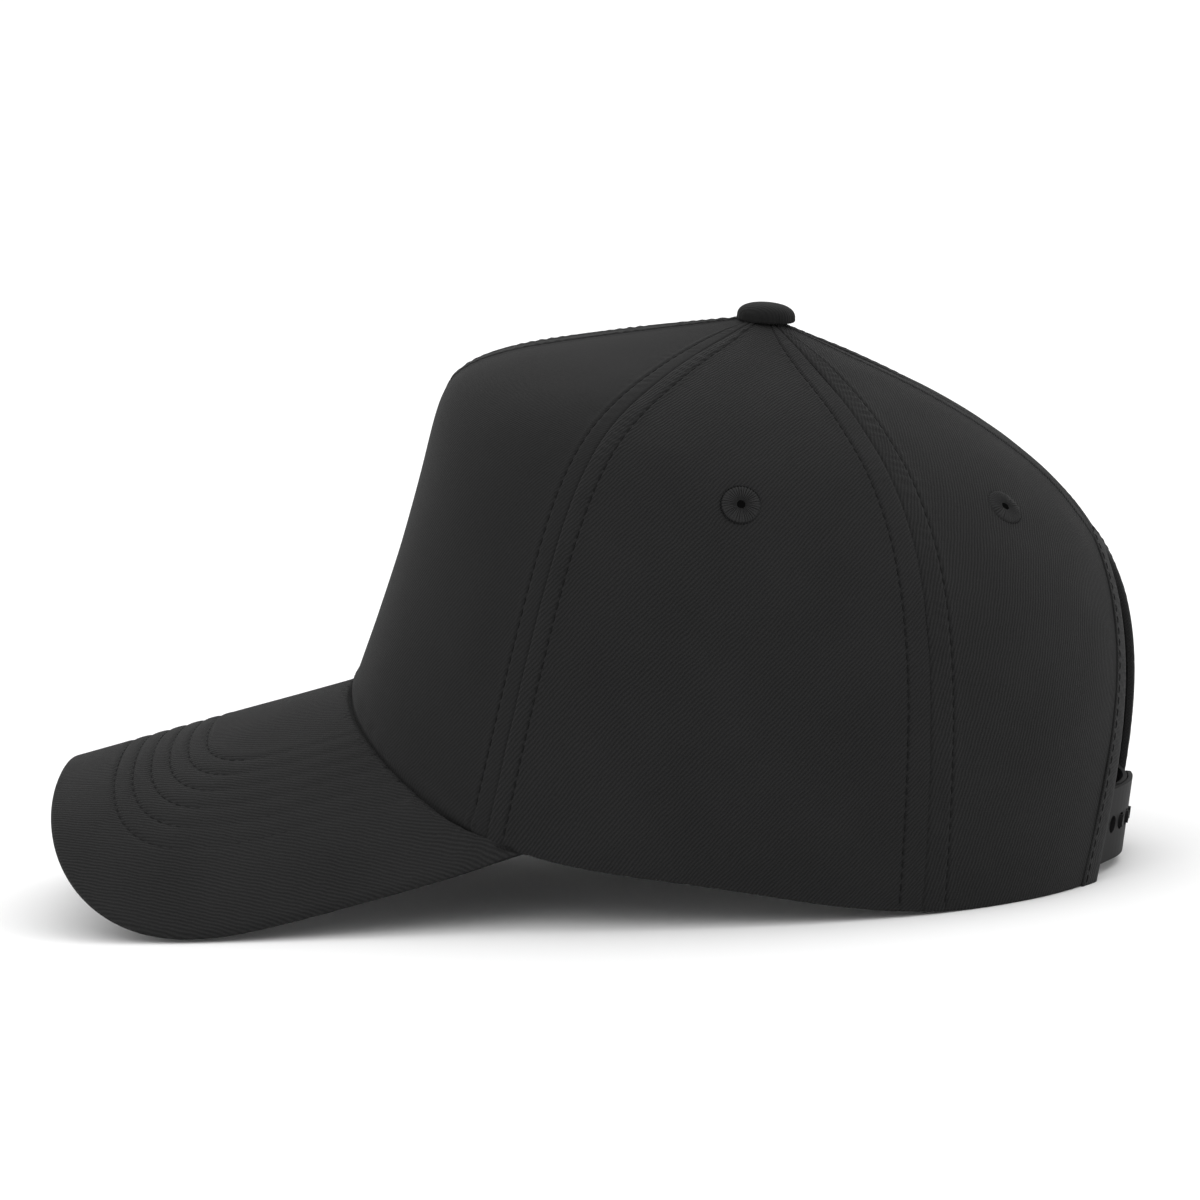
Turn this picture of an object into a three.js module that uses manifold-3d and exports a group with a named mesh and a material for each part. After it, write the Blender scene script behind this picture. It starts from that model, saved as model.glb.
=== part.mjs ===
// A structured five-panel baseball cap, standing on a table on its hem and the edge of its visor.
// Millimetres, +Z up. The visor points to -Y, and the wearer's left side is +X.
// Places are worked out with the origin under the middle of the head opening. At the end
// the group is moved so that the origin is under the middle of the whole cap.
import * as THREE from "three";
import { mergeVertices } from "three/addons/utils/BufferGeometryUtils.js";
import Module from "manifold-3d";

const wasm = await Module();
wasm.setup();
const rad = THREE.MathUtils.degToRad;
const lerp = THREE.MathUtils.lerp;

// ---------------------------------------------------------------- driving dimensions

// The head opening in plan: a superellipse round the origin.
const OPENING = { halfWidth: 82, front: 96.9, back: 97.6, middleY: 0, squareness: 2.4 };
// Every profile runs from the hem to the button and bends towards a shoulder, also a superellipse.
const SHOULDER = { halfWidth: 87, front: 80, back: 100.3, middleY: 19.2, squareness: 2.3 };
// Each list below holds values every 30 degrees from the centre front to the centre back.
const HEM_HEIGHT = [50.6, 38.6, 19.4, 10.7, 2.1, -0.3, 0];
const SHOULDER_HEIGHT = [136.3, 131.5, 124.6, 115.4, 106.1, 97.9, 95.1];
const SHOULDER_PULL = [3.6, 3.1, 2.5, 1.8, 1.7, 1.4, 1.5];
// How much of the front panel's extra fullness each of those places has.
const FULLNESS_SHARE = [1, 0.6, 0, 0, 0, 0, 0];
const FULLNESS = { forward: 24.8, lift: 1.7, wall: 0.9 };
// The shoulder points turn a little further back than the hem points that they belong to.
const TURN = { once: rad(1.3), twice: rad(6.2) };
const APEX = { y: 15.2, z: 142.2, radius: 2.6, frontRise: 0.84 };

const FRONT_SEAM = rad(53);
const BACK_SEAM = rad(126);
const CENTRE_BACK = Math.PI;

// Layers, as depths under the crown's outer face.
const GAP = 0.3;
const PANEL_THICK = 0.9;
const LINING_DEPTH = 1.2;
const LINING_THICK = 0.5;
const PAD_DEPTH = 2.0;
const PAD_THICK = 1.1;
const SWEATBAND_DEPTH = 3.4;
const SWEATBAND_THICK = 0.8;

const TAPE_HALF_WIDTH = 7;
const TAPE_START = 2.5;
const TAPE_END = 0.955;
const DART_START = 0.56;

const ARCH = { halfWidth: 32, height: 80, squareness: 1.4, foot: -5 };
const BINDING = { width: 7, proud: 1, legGap: 0.45 };

const SWEATBAND = { bottom: 1.2, height: 32, end: rad(158) };
const PAD = { bottom: 4, height: 26, end: rad(72) };

const VISOR = {
  radius: 85,
  slope: 0.232,
  ridge: 53.9,
  ridgeY: -97,
  halfWidth: 76,
  depth: 84.7,
  widestY: -87,
  squareness: 4,
  cornerY: -45.5,
  cornerTuck: 0.4,
  seamEnd: rad(56.5),
  seamGap: 0.4,
  innerReach: 0.97,
  coverThick: 0.5,
  layerGap: 0.45,
  boardThick: 1.5,
  boardInset: 1.3,
};

const EYELET = {
  outer: 5,
  hole: 0.9,
  neck: 2.7,
  panelHole: 3.2,
  proud: 0.6,
  seat: 0.35,
  backDepth: 1.9,
  backRadius: 4.2,
};
const SIDE_EYELET = { phi: rad(87), t: 0.516 };
const BACK_EYELET = { phi: rad(152), t: 0.588 };

const BUTTON = { radius: 7.4, height: 3.7, skirt: 0.3, fabric: 0.6, tilt: rad(7), lift: 0.6 };
const SHANK = { radius: 1.2, length: 4.2 };
const WASHER = { radius: 4.4, thick: 0.8, hole: 2, drop: 3.2 };

const STRAP = {
  height: 19,
  bottom: 2.5,
  thick: 1.1,
  rootPhi: rad(164.2),
  tab: 10,
  dropLength: 12,
  corner: 5,
  pitch: 7,
  endMargin: 4.6,
  bow: 2.4,
  sharedSteps: 3,
  holes: 6,
  holeRadius: 2.3,
  pegRadius: 1.6,
  pegHeight: 1.9,
};

// ---------------------------------------------------------------- materials

const fabric = (color) => new THREE.MeshStandardMaterial({ color, roughness: 0.95, metalness: 0 });
const TWILL = fabric(0x26262a);
const LINING = fabric(0x1c1c1f);
const FOAM = fabric(0x303034);
const THREAD = fabric(0x18181a);
const BOARD = new THREE.MeshStandardMaterial({ color: 0x3a3a3c, roughness: 0.6, metalness: 0 });
const SNAP_PLASTIC = new THREE.MeshStandardMaterial({ color: 0x141416, roughness: 0.4, metalness: 0 });
const STEEL = new THREE.MeshStandardMaterial({ color: 0x9a9a9c, roughness: 0.35, metalness: 1 });

// ---------------------------------------------------------------- the crown's surface

// A smooth curve through values at equal steps from front to back, the same on both sides.
function around(values, phi) {
  const last = values.length - 1;
  let sum = 0;
  for (let m = 0; m <= last; m++) {
    let share = 0;
    values.forEach((value, k) => {
      const weight = k === 0 || k === last ? 0.5 : 1;
      share += weight * value * Math.cos((m * k * Math.PI) / last);
    });
    const scale = m === 0 || m === last ? 1 / last : 2 / last;
    sum += scale * share * Math.cos(m * phi);
  }
  return sum;
}

// A point of a superellipse in plan, at an angle from straight ahead (-Y) towards +X.
function planPoint(ring, phi) {
  const c = Math.cos(phi);
  const s = Math.sin(phi);
  const n = ring.squareness;
  const reach = c > 0 ? ring.front : ring.back;
  const r = (Math.abs(c / reach) ** n + Math.abs(s / ring.halfWidth) ** n) ** (-1 / n);
  return new THREE.Vector3(r * s, ring.middleY - r * c, 0);
}

// The crown's outer face: phi is the angle from the centre front, t runs from hem to button.
function crownPoint(phi, t) {
  const hem = planPoint(OPENING, phi);
  hem.z = Math.max(around(HEM_HEIGHT, phi), 0);
  const turned = phi + TURN.once * Math.sin(phi) + TURN.twice * Math.sin(2 * phi);
  const shoulder = planPoint(SHOULDER, turned);
  shoulder.z = around(SHOULDER_HEIGHT, phi);
  const apex = new THREE.Vector3(
    APEX.radius * Math.sin(phi),
    APEX.y - APEX.radius * Math.cos(phi),
    APEX.z + APEX.frontRise * Math.cos(phi),
  );
  const pull = around(SHOULDER_PULL, phi);
  const full = around(FULLNESS_SHARE, phi);
  const heavy = 1 + 2 * pull;
  const wall = hem.clone().addScaledVector(shoulder, 2 * pull).divideScalar(heavy);
  wall.y += FULLNESS.wall * full;
  const top = apex.clone().addScaledVector(shoulder, 2 * pull).divideScalar(heavy);
  top.y -= FULLNESS.forward * full;
  top.z += FULLNESS.lift * full;
  const weights = [(1 - t) ** 3, heavy * (1 - t) ** 2 * t, heavy * (1 - t) * t * t, t ** 3];
  const total = weights.reduce((a, b) => a + b);
  const point = new THREE.Vector3();
  [hem, wall, top, apex].forEach((control, k) => point.addScaledVector(control, weights[k] / total));
  return point;
}

const STEP = 1e-3;

function alongPhi(phi, t) {
  return crownPoint(phi + STEP, t).sub(crownPoint(phi - STEP, t)).divideScalar(2 * STEP);
}

function outward(phi, t) {
  const low = Math.max(t - STEP, 0);
  const high = Math.min(t + STEP, 1);
  const rising = crownPoint(phi, high).sub(crownPoint(phi, low));
  const normal = alongPhi(phi, t).cross(rising);
  if (t === 0) normal.z = 0;
  return normal.normalize();
}

// A point at a depth under the crown's outer face. The hem's edge is level all through.
const layerPoint = (phi, t, depth) => crownPoint(phi, t).addScaledVector(outward(phi, t), -depth);

// The angle of a line that runs beside a seam, a set distance from it.
const beside = (seam, t, distance) => seam + distance / alongPhi(seam, t).length();

// The t at a length up the profile from the hem.
function climb(phi, length) {
  const steps = 400;
  let gone = 0;
  let last = crownPoint(phi, 0);
  for (let k = 1; k <= steps; k++) {
    const next = crownPoint(phi, k / steps);
    const piece = next.distanceTo(last);
    if (gone + piece >= length) return (k - 1 + (length - gone) / piece) / steps;
    gone += piece;
    last = next;
  }
  return 1;
}

// ---------------------------------------------------------------- building helpers

const cap = new THREE.Group();

function add(name, geometry, material) {
  const mesh = new THREE.Mesh(geometry, material);
  mesh.name = name;
  cap.add(mesh);
  return mesh;
}

// A closed shell between two grids of points, outer(u, v) and inner(u, v), with u and v from 0 to 1.
// Its outer side is the one that the u direction crossed with the v direction points to.
function shell(outer, inner, columns, rows) {
  const positions = [];
  const index = [];
  for (const side of [outer, inner]) {
    for (let i = 0; i <= columns; i++) {
      for (let j = 0; j <= rows; j++) positions.push(...side(i / columns, j / rows).toArray());
    }
  }
  const at = (side, i, j) => (side * (columns + 1) + i) * (rows + 1) + j;
  const quad = (a, b, c, d) => index.push(a, b, c, a, c, d);
  for (let i = 0; i < columns; i++) {
    for (let j = 0; j < rows; j++) {
      quad(at(0, i, j), at(0, i + 1, j), at(0, i + 1, j + 1), at(0, i, j + 1));
      quad(at(1, i, j), at(1, i, j + 1), at(1, i + 1, j + 1), at(1, i + 1, j));
    }
    quad(at(0, i, 0), at(1, i, 0), at(1, i + 1, 0), at(0, i + 1, 0));
    quad(at(0, i, rows), at(0, i + 1, rows), at(1, i + 1, rows), at(1, i, rows));
  }
  for (let j = 0; j < rows; j++) {
    quad(at(0, 0, j), at(0, 0, j + 1), at(1, 0, j + 1), at(1, 0, j));
    quad(at(0, columns, j), at(1, columns, j), at(1, columns, j + 1), at(0, columns, j + 1));
  }
  const geometry = new THREE.BufferGeometry();
  geometry.setAttribute("position", new THREE.Float32BufferAttribute(positions, 3));
  geometry.setIndex(index);
  geometry.computeVertexNormals();
  return geometry;
}

// A part of one crown layer: place(u, v) gives phi and t.
function crownLayer(place, depth, thick, columns, rows) {
  const at = (below) => (u, v) => {
    const [phi, t] = place(u, v);
    return layerPoint(phi, t, below);
  };
  return shell(at(depth), at(depth + thick), columns, rows);
}

function toSolid(geometry) {
  const bare = geometry.clone();
  bare.deleteAttribute("normal");
  bare.deleteAttribute("uv");
  const merged = mergeVertices(bare, 1e-4);
  const mesh = new wasm.Mesh({
    numProp: 3,
    vertProperties: new Float32Array(merged.attributes.position.array),
    triVerts: new Uint32Array(merged.index.array),
  });
  return new wasm.Manifold(mesh);
}

function toGeometry(solid) {
  const mesh = solid.getMesh();
  const geometry = new THREE.BufferGeometry();
  geometry.setAttribute("position", new THREE.BufferAttribute(mesh.vertProperties, 3));
  geometry.setIndex(new THREE.BufferAttribute(mesh.triVerts, 1));
  geometry.computeVertexNormals();
  return geometry;
}

// A lathe turned about +Z from [radius, height] points that start and end on the axis or close.
function turned(profile, segments) {
  const points = profile.map(([r, z]) => new THREE.Vector2(r, z));
  return new THREE.LatheGeometry(points, segments).rotateX(Math.PI / 2);
}

// ---------------------------------------------------------------- the back opening

// The opening's outline, wider by grow, as a prism along Y through the back of the crown.
function archPrism(grow) {
  const wide = ARCH.halfWidth + grow;
  const high = ARCH.height + grow;
  const steps = 22;
  const shape = new THREE.Shape();
  shape.moveTo(wide, ARCH.foot);
  for (let k = 0; k <= steps; k++) {
    const a = (k / steps) * Math.PI;
    const r = (Math.abs(Math.cos(a) / wide) ** ARCH.squareness
      + Math.abs(Math.sin(a) / high) ** ARCH.squareness) ** (-1 / ARCH.squareness);
    shape.lineTo(r * Math.cos(a), r * Math.sin(a));
  }
  shape.lineTo(-wide, ARCH.foot);
  const back = OPENING.back + 30;
  const geometry = new THREE.ExtrudeGeometry(shape, { depth: 60, bevelEnabled: false });
  geometry.rotateX(Math.PI / 2);
  geometry.translate(0, back, 0);
  return toSolid(geometry);
}

// ---------------------------------------------------------------- panels

// A hole through a panel at an eyelet, along the surface's own direction.
function eyeletFrame(place, side) {
  const phi = side * place.phi;
  const frame = new THREE.Object3D();
  frame.position.copy(crownPoint(phi, place.t));
  frame.quaternion.setFromUnitVectors(new THREE.Vector3(0, 0, 1), outward(phi, place.t));
  frame.updateMatrix();
  return frame;
}

function drill(solid, place, side) {
  const drillLength = 12;
  const bit = new THREE.CylinderGeometry(EYELET.panelHole, EYELET.panelHole, drillLength, 20);
  bit.rotateX(Math.PI / 2).applyMatrix4(eyeletFrame(place, side).matrix);
  return solid.subtract(toSolid(bit));
}

// A panel between two seams, with half of the seam gap left at each side.
function panelBetween(from, to, columns, rows) {
  const place = (u, v) => {
    const low = beside(from, v, GAP / 2);
    const high = beside(to, v, -GAP / 2);
    return [lerp(low, high, u), v];
  };
  return crownLayer(place, 0, PANEL_THICK, columns, rows);
}

const PANEL_ROWS = 13;
add("front_panel", panelBetween(-FRONT_SEAM, FRONT_SEAM, 16, PANEL_ROWS), TWILL);

for (const [side, word] of [[1, "left"], [-1, "right"]]) {
  const seams = [side * FRONT_SEAM, side * BACK_SEAM, side * CENTRE_BACK];
  const between = (a, b, columns) => panelBetween(Math.min(a, b), Math.max(a, b), columns, PANEL_ROWS);
  const sidePanel = drill(toSolid(between(seams[0], seams[1], 11)), SIDE_EYELET, side);
  add(word + "_side_panel", toGeometry(sidePanel), TWILL);
  const backPanel = toSolid(between(seams[1], seams[2], 9)).subtract(archPrism(0));
  add(word + "_back_panel", toGeometry(drill(backPanel, BACK_EYELET, side)), TWILL);
}

// ---------------------------------------------------------------- linings and tapes

const halfTape = (seam, t) => Math.min(TAPE_HALF_WIDTH, 0.4 * alongPhi(seam, t).length());

// A tape along a seam, from one t to another.
function tape(seam, start, end, depth) {
  const place = (u, v) => {
    const t = lerp(start, end, v);
    return [beside(seam, t, (2 * u - 1) * halfTape(seam, t)), t];
  };
  return crownLayer(place, depth, LINING_THICK, 2, PANEL_ROWS);
}

for (const [side, word] of [[1, "left"], [-1, "right"]]) {
  for (const [seam, which] of [[FRONT_SEAM, "front"], [BACK_SEAM, "back"]]) {
    const start = climb(seam, TAPE_START);
    add(`${word}_${which}_seam_tape`, tape(side * seam, start, TAPE_END, LINING_DEPTH), LINING);
  }
}

// The stiffener behind the front panel, between the two front tapes.
function buckramPlace(u, v) {
  const t = lerp(climb(0, TAPE_START), TAPE_END, v);
  const reach = FRONT_SEAM - (halfTape(FRONT_SEAM, t) + GAP) / alongPhi(FRONT_SEAM, t).length();
  return [lerp(-reach, reach, u), t];
}
add("front_buckram", crownLayer(buckramPlace, LINING_DEPTH, LINING_THICK, 14, PANEL_ROWS), LINING);
add("dart_tape", tape(0, DART_START, TAPE_END, PAD_DEPTH), LINING);

const clearOfBinding = archPrism(BINDING.width + GAP);
const centreBackTape = toSolid(tape(CENTRE_BACK, 0.3, TAPE_END, LINING_DEPTH));
add("centre_back_tape", toGeometry(centreBackTape.subtract(clearOfBinding)), LINING);

// The binding is a folded strip that wraps the opening's raw edge, outside and inside.
function archBinding() {
  const reach = rad(34);
  const top = climb(CENTRE_BACK, ARCH.height + 40);
  const place = (u, v) => [CENTRE_BACK + lerp(-reach, reach, u), v * top];
  const layer = (from, to) => toSolid(crownLayer(place, from, to - from, 14, 9));
  const wrap = layer(-BINDING.proud, LINING_DEPTH + LINING_THICK)
    .intersect(archPrism(BINDING.width))
    .subtract(archPrism(-BINDING.proud));
  const slot = layer(-BINDING.legGap, PANEL_THICK + BINDING.legGap)
    .subtract(archPrism(-BINDING.legGap));
  return wrap.subtract(slot);
}
add("arch_binding", toGeometry(archBinding()), LINING);

// ---------------------------------------------------------------- sweatband

// A band that follows the hem, between two lengths up the profile.
function hemBand(size, depth, thick, columns, rows) {
  const place = (u, v) => {
    const phi = lerp(-size.end, size.end, u);
    return [phi, climb(phi, lerp(size.bottom, size.height, v))];
  };
  return crownLayer(place, depth, thick, columns, rows);
}
add("sweatband", hemBand(SWEATBAND, SWEATBAND_DEPTH, SWEATBAND_THICK, 44, 3), LINING);
add("sweatband_foam", hemBand(PAD, PAD_DEPTH, PAD_THICK, 20, 2), FOAM);

// ---------------------------------------------------------------- visor

// The visor is bent about one direction only: every line along it has the same slope.
const visorHeight = (x, y) =>
  VISOR.ridge - VISOR.radius + Math.sqrt(VISOR.radius ** 2 - x * x) + VISOR.slope * (y - VISOR.ridgeY);

function visorUp(x) {
  const across = x / Math.sqrt(VISOR.radius ** 2 - x * x);
  return new THREE.Vector3(across, -VISOR.slope, 1).normalize();
}

// The front edge in plan: u from -1 at the right corner to 1 at the left one.
const ROUND_SHARE = 0.72;
function visorEdge(u, inset) {
  const side = Math.sign(u) || 1;
  const along = Math.abs(u);
  const wide = VISOR.halfWidth - inset;
  if (along > ROUND_SHARE) {
    const back = (along - ROUND_SHARE) / (1 - ROUND_SHARE);
    const y = lerp(VISOR.widestY, VISOR.cornerY, back);
    return new THREE.Vector2(side * (wide - VISOR.cornerTuck * back * back), y);
  }
  const a = (along / ROUND_SHARE) * (Math.PI / 2);
  const n = VISOR.squareness;
  const deep = VISOR.depth - inset;
  const r = (Math.abs(Math.cos(a) / deep) ** n + Math.abs(Math.sin(a) / wide) ** n) ** (-1 / n);
  return new THREE.Vector2(side * r * Math.sin(a), VISOR.widestY - r * Math.cos(a));
}

// The back edge, sewn along the hem: just outside the front panel.
function visorSeam(u) {
  const phi = u * VISOR.seamEnd;
  const point = crownPoint(phi, 0).addScaledVector(outward(phi, 0), VISOR.seamGap);
  return new THREE.Vector2(point.x, point.y);
}

// v runs from the seam to the front edge. Every layer starts at the same line in plan.
function visorPoint(u, v, inset, depth) {
  const seam = visorSeam(u);
  const edge = visorEdge(u, inset);
  const up = visorUp(seam.x);
  const x = lerp(seam.x + depth * up.x, edge.x, v);
  const y = lerp(seam.y + depth * up.y, edge.y, v);
  return new THREE.Vector3(x, y, visorHeight(x, y)).addScaledVector(visorUp(x), -depth);
}

// One layer of the visor, as far as reach on both sides, where 1 is the corner.
function visorLayer(reach, inset, depth, thick) {
  const at = (below) => (u, v) => visorPoint(lerp(-reach, reach, u), 1 - v, inset, below);
  return shell(at(depth), at(depth + thick), 30, 5);
}

const BOARD_DEPTH = VISOR.coverThick + VISOR.layerGap;
const UNDER_DEPTH = BOARD_DEPTH + VISOR.boardThick + VISOR.layerGap;
add("visor_top_cover", visorLayer(1, 0, 0, VISOR.coverThick), TWILL);
const board = visorLayer(VISOR.innerReach, VISOR.boardInset, BOARD_DEPTH, VISOR.boardThick);
add("visor_board", board, BOARD);
add("visor_bottom_cover", visorLayer(VISOR.innerReach, 0, UNDER_DEPTH, VISOR.coverThick), TWILL);

// ---------------------------------------------------------------- eyelets

// A stitched eyelet: a flange outside, a neck through the panel and a flange inside.
function eyeletGeometry() {
  const { seat, proud } = EYELET;
  const bevel = 0.4;
  const profile = [
    [EYELET.hole, -EYELET.backDepth],
    [EYELET.backRadius, -EYELET.backDepth],
    [EYELET.backRadius, -PANEL_THICK - seat],
    [EYELET.neck, -PANEL_THICK - seat],
    [EYELET.neck, seat],
    [EYELET.outer, seat],
    [EYELET.outer - bevel, seat + proud],
    [EYELET.hole + bevel, seat + proud],
    [EYELET.hole, proud],
    [EYELET.hole, -EYELET.backDepth],
  ];
  return turned(profile, 16);
}

for (const [side, word] of [[1, "left"], [-1, "right"]]) {
  for (const [place, which] of [[SIDE_EYELET, "side"], [BACK_EYELET, "back"]]) {
    const mesh = add(`${word}_${which}_eyelet`, eyeletGeometry(), THREAD);
    const frame = eyeletFrame(place, side);
    mesh.position.copy(frame.position);
    mesh.quaternion.copy(frame.quaternion);
  }
}

// ---------------------------------------------------------------- button

// Points of a dome's profile from the axis to its rim, at a distance inside the outer face.
function domeProfile(inset, steps) {
  const points = [];
  for (let k = 0; k <= steps; k++) {
    const a = (k / steps) * (Math.PI / 2);
    const squash = 0.62;
    const r = (BUTTON.radius - inset) * Math.sin(a) ** squash;
    points.push([r, (BUTTON.height - inset) * Math.cos(a) ** squash]);
  }
  return points;
}

function placeOnApex(mesh) {
  mesh.position.set(0, APEX.y, APEX.z + BUTTON.lift);
  mesh.rotation.x = -BUTTON.tilt;
}

function button() {
  const outerDome = domeProfile(0, 7);
  const innerDome = domeProfile(BUTTON.fabric, 7).reverse();
  const skirt = [
    [BUTTON.radius - 0.2, -BUTTON.skirt],
    [BUTTON.radius - 0.2 - BUTTON.fabric, -BUTTON.skirt],
  ];
  placeOnApex(add("button_cover", turned([...outerDome, ...skirt, ...innerDome].reverse(), 24), TWILL));
  const rim = domeProfile(BUTTON.fabric + GAP, 5);
  const shank = [
    [SHANK.radius, 0],
    [SHANK.radius, -SHANK.length],
    [0, -SHANK.length],
  ];
  placeOnApex(add("button_core", turned([...rim, ...shank].reverse(), 18), STEEL));
}
button();

// The washer that the button's shank is clenched on, under the panels.
function washer() {
  const half = WASHER.thick / 2;
  const profile = [
    [WASHER.hole, -half],
    [WASHER.radius, -half],
    [WASHER.radius, half],
    [WASHER.hole, half],
    [WASHER.hole, -half],
  ];
  const mesh = add("button_washer", turned(profile, 18), STEEL);
  mesh.position.set(0, APEX.y, APEX.z - WASHER.drop);
}
washer();

// ---------------------------------------------------------------- closure straps

// Both straps lie along the crown's own line across the back opening. The outer one, with the
// holes, comes from the left and the inner one, with the pegs, from the right.
const STRAP_MIDDLE = STRAP.bottom + STRAP.height / 2;
const BACK_RADIUS = alongPhi(CENTRE_BACK, climb(CENTRE_BACK, STRAP_MIDDLE)).length();
const STRAP_LINE = 2 * (CENTRE_BACK - STRAP.rootPhi) * BACK_RADIUS;
const FIRST_HOLE = (STRAP_LINE + STRAP.sharedSteps * STRAP.pitch) / 2;
const STRAP_REACH = FIRST_HOLE + STRAP.endMargin;

// A point at a distance from a strap's root, at a height up the crown and a depth under its face.
function strapPoint(side, distance, height, depth) {
  const phi = side * (STRAP.rootPhi + distance / BACK_RADIUS);
  return layerPoint(phi, climb(phi, height), depth - strapBow(distance));
}

// Both straps bow outwards between the roots, so they stand a little proud of the crown's line.
function strapBow(distance) {
  const fromMiddle = Math.abs((2 * distance) / STRAP_LINE - 1);
  return STRAP.bow * Math.cos((Math.PI / 2) * Math.min(fromMiddle, 1)) ** 2;
}

// The inner strap drops behind the outer one soon after its root.
function strapDepth(side, distance) {
  const behind = side > 0 ? 0 : STRAP.thick + GAP;
  return PAD_DEPTH + behind * THREE.MathUtils.smoothstep(distance, 0, STRAP.dropLength);
}

// A strip of strap between two distances from the root. Its corners are round at the free end.
function strapStrip(side, from, to, columns, corner) {
  const at = (below) => (u, v) => {
    const along = side > 0 ? u : 1 - u;
    const distance = lerp(to, from, (1 - along) ** 1.5);
    const left = Math.max(0, corner - (to - distance));
    const trim = corner - Math.sqrt(corner ** 2 - left ** 2);
    const height = STRAP.bottom + lerp(trim, STRAP.height - trim, v);
    return strapPoint(side, distance, height, strapDepth(side, Math.max(distance, 0)) + below);
  };
  return toSolid(shell(at(0), at(STRAP.thick), columns, 1));
}

// A round bar through two points.
function bar(from, to, radius, segments) {
  const rod = new THREE.CylinderGeometry(radius, radius, from.distanceTo(to), segments);
  const way = to.clone().sub(from).normalize();
  const turn = new THREE.Quaternion().setFromUnitVectors(new THREE.Vector3(0, 1, 0), way);
  rod.applyQuaternion(turn).translate(...from.clone().lerp(to, 0.5).toArray());
  return toSolid(rod);
}

// The rounded root that a strap bends at.
function knuckle(side) {
  const depth = PAD_DEPTH + STRAP.thick / 2;
  const low = strapPoint(side, 0, STRAP.bottom, depth);
  const high = strapPoint(side, 0, STRAP.bottom + STRAP.height, depth);
  return bar(low, high, STRAP.thick / 2, 10);
}

// Round bars at every peg place, from one depth to another under the strap's outer face.
function pegRow(side, radius, from, to, segments) {
  const bars = [];
  for (let k = 0; k < STRAP.holes; k++) {
    const distance = FIRST_HOLE - k * STRAP.pitch;
    const face = strapDepth(side, distance);
    const start = strapPoint(side, distance, STRAP_MIDDLE, face + from);
    bars.push(bar(start, strapPoint(side, distance, STRAP_MIDDLE, face + to), radius, segments));
  }
  return bars.reduce((all, one) => all.add(one));
}

function straps() {
  const through = 2;
  const holes = pegRow(1, STRAP.holeRadius, -through, STRAP.thick + through, 16);
  const holeStrap = strapStrip(1, 0, STRAP_REACH, 18, STRAP.corner).add(knuckle(1)).subtract(holes);
  add("hole_strap", toGeometry(holeStrap), SNAP_PLASTIC);
  const pegs = pegRow(-1, STRAP.pegRadius, -STRAP.pegHeight, STRAP.thick / 2, 12);
  const pegStrap = strapStrip(-1, 0, STRAP_REACH, 18, STRAP.corner).add(knuckle(-1)).add(pegs);
  add("peg_strap", toGeometry(pegStrap), SNAP_PLASTIC);
  const tabStart = -STRAP.thick / 2 - GAP;
  for (const [side, word] of [[1, "hole"], [-1, "peg"]]) {
    const tab = strapStrip(side, tabStart - STRAP.tab, tabStart, 5, 0);
    add(word + "_strap_tab", toGeometry(tab), SNAP_PLASTIC);
  }
}
straps();

// ---------------------------------------------------------------- the part's own frame

const bounds = new THREE.Box3().setFromObject(cap);
cap.position.y = -(bounds.min.y + bounds.max.y) / 2;

export default cap;
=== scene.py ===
"""Visual model of a structured five-panel baseball cap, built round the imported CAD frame.

Shapes are worked out in millimetres, with the origin under the middle of the head opening, and
moved into the frame at the end. phi is the angle round the crown from the centre front, through
the wearer's left, and t runs from the hem (0) to the button (1), as in the CAD.
"""

from math import atan, cos, pi, radians, sin

import bpy
import numpy as np
from mathutils import Matrix, Vector


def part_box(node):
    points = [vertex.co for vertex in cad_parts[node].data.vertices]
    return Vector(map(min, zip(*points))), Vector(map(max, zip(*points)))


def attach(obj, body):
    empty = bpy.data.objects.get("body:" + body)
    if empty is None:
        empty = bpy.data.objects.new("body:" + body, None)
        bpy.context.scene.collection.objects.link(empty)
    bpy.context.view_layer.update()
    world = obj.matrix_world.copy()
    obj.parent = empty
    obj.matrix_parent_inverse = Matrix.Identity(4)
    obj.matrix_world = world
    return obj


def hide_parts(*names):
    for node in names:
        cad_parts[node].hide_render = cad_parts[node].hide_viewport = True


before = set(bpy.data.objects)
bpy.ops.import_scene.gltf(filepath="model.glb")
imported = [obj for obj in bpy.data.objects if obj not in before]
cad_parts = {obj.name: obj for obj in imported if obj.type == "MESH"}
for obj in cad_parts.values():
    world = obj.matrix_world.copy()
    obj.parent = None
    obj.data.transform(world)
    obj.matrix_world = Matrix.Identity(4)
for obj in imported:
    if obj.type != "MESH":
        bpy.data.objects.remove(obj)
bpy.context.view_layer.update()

# -------------------- dimensions, in mm

OPENING = dict(half_width=82, front=96.9, back=97.6, middle=0, squareness=2.4)
SHOULDER = dict(half_width=87, front=80, back=100.3, middle=19.2, squareness=2.3)
HEM_HEIGHT = [50.6, 38.6, 19.4, 10.7, 2.1, -0.3, 0]
SHOULDER_HEIGHT = [136.3, 131.5, 124.6, 115.4, 106.1, 97.9, 95.1]
SHOULDER_PULL = [3.6, 3.1, 2.5, 1.8, 1.7, 1.4, 1.5]
FULLNESS_SHARE = [1, 0.6, 0, 0, 0, 0, 0]
FULLNESS = dict(forward=24.8, lift=1.7, wall=0.9)
TURN_ONCE = radians(1.3)
TURN_TWICE = radians(6.2)
APEX = dict(y=15.2, z=142.2, radius=2.6, front_rise=0.84)

FRONT_SEAM = radians(53)
BACK_SEAM = radians(126)
CENTRE_BACK = pi
SIDES = ((1, "left"), (-1, "right"))

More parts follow.
